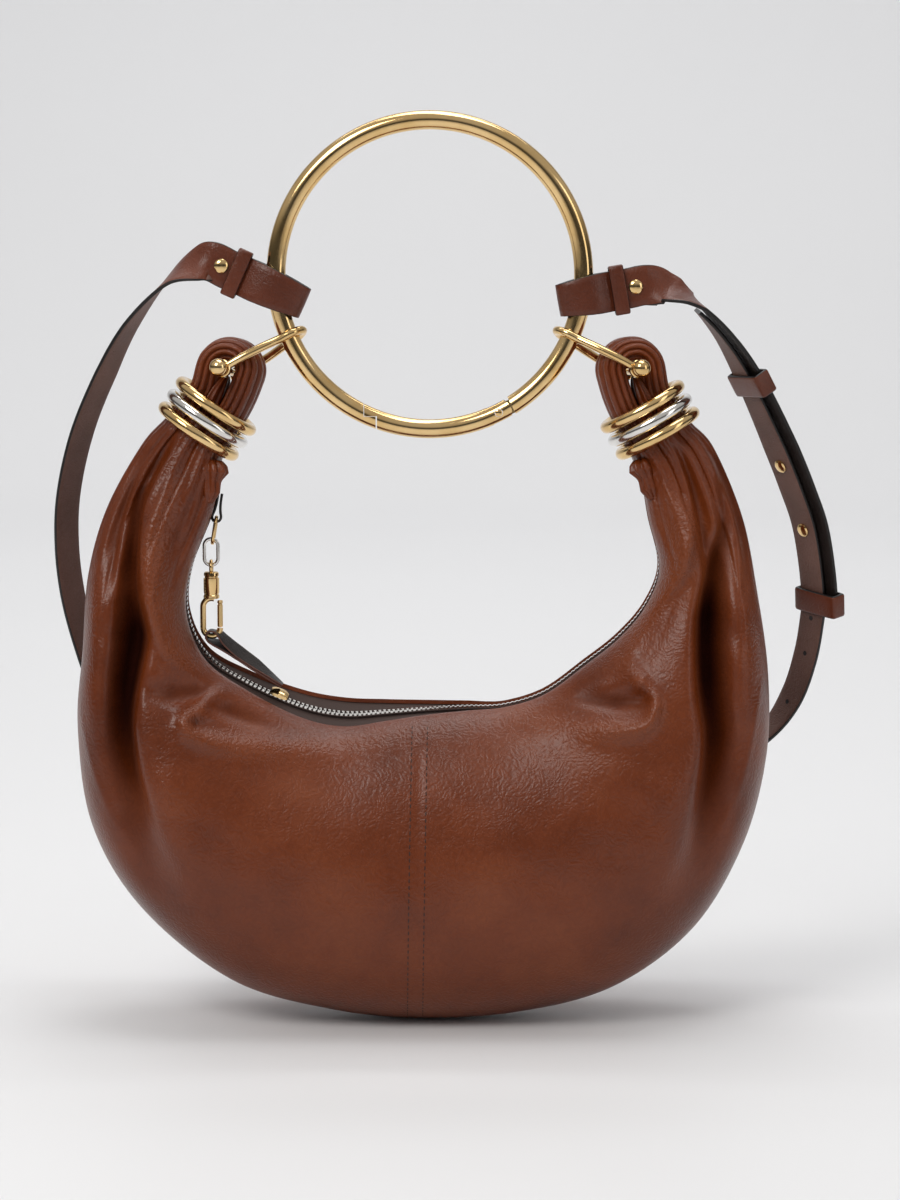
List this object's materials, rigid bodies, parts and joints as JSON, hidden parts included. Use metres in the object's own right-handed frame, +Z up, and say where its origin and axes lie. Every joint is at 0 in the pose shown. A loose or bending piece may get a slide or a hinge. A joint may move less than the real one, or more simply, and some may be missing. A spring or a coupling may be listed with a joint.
{
  "type": "ring handle bag",
  "caption": "Small gathered leather crescent bag hung from a round metal ring handle, with a leather strap, zip and key hook.",
  "frame": {"origin": "top of the ring handle's inside, where a hand or a hook carries the bag", "axes": "+Z up, along the hang; -Y towards the front face; +X to the right seen from the front"},
  "size_m": [0.403, 0.1312, 0.4555],
  "materials": {
    "grained_leather": "semi-gloss pebbled",
    "strap_leather": "smooth, dark edges",
    "dark_leather": "satin",
    "polished_gold": "polished",
    "polished_silver": "polished"
  },
  "bodies": {
    "bag": {"ring_handle": "polished_gold", "ring_gate_pin": "polished_gold", "shackle_left": "polished_gold", "shackle_right": "polished_gold", "shackle_pin_left": "polished_gold", "shackle_pin_right": "polished_gold", "collar_left_upper": "polished_gold", "collar_left_lower": "polished_gold", "collar_right_upper": "polished_gold", "collar_right_lower": "polished_gold", "stud_left": "polished_gold", "stud_right": "polished_gold", "stud_run_lower": "polished_gold", "stud_run_upper": "polished_gold", "chain_link_upper": "polished_gold", "hook": "polished_gold", "zip_slider": "polished_gold", "collar_left_middle": "polished_silver", "collar_right_middle": "polished_silver", "chain_link_lower": "polished_silver", "zip_teeth": "polished_silver", "bag_body": "grained_leather", "neck_loop_left": "grained_leather", "neck_loop_right": "grained_leather", "keeper_tab_left": "grained_leather", "keeper_tab_right": "grained_leather", "keeper_run_lower": "grained_leather", "keeper_run_upper": "grained_leather", "strap_long": "strap_leather", "strap_short": "strap_leather", "zip_tape": "dark_leather", "chain_tab": "dark_leather", "zip_pull": "dark_leather"},
    "ring_gate": {"ring_gate": "polished_gold"},
    "hook_lever": {"hook_lever": "polished_gold"}
  },
  "joints": [
    {"name": "gate_hinge", "type": "hinge", "parent": "bag", "child": "ring_gate", "pos_m": [0.03424, 0, -0.13953], "axis": [0, 1, 0], "range_deg": [0, 30], "stiffness_Nm_per_rad": 0.02, "springref_deg": -5.73},
    {"name": "lever_hinge", "type": "hinge", "parent": "bag", "child": "hook_lever", "pos_m": [-0.10525, 0, -0.235], "axis": [0, 1, 0], "range_deg": [0, 20], "stiffness_Nm_per_rad": 0.0005, "springref_deg": -5.73}
  ]
}
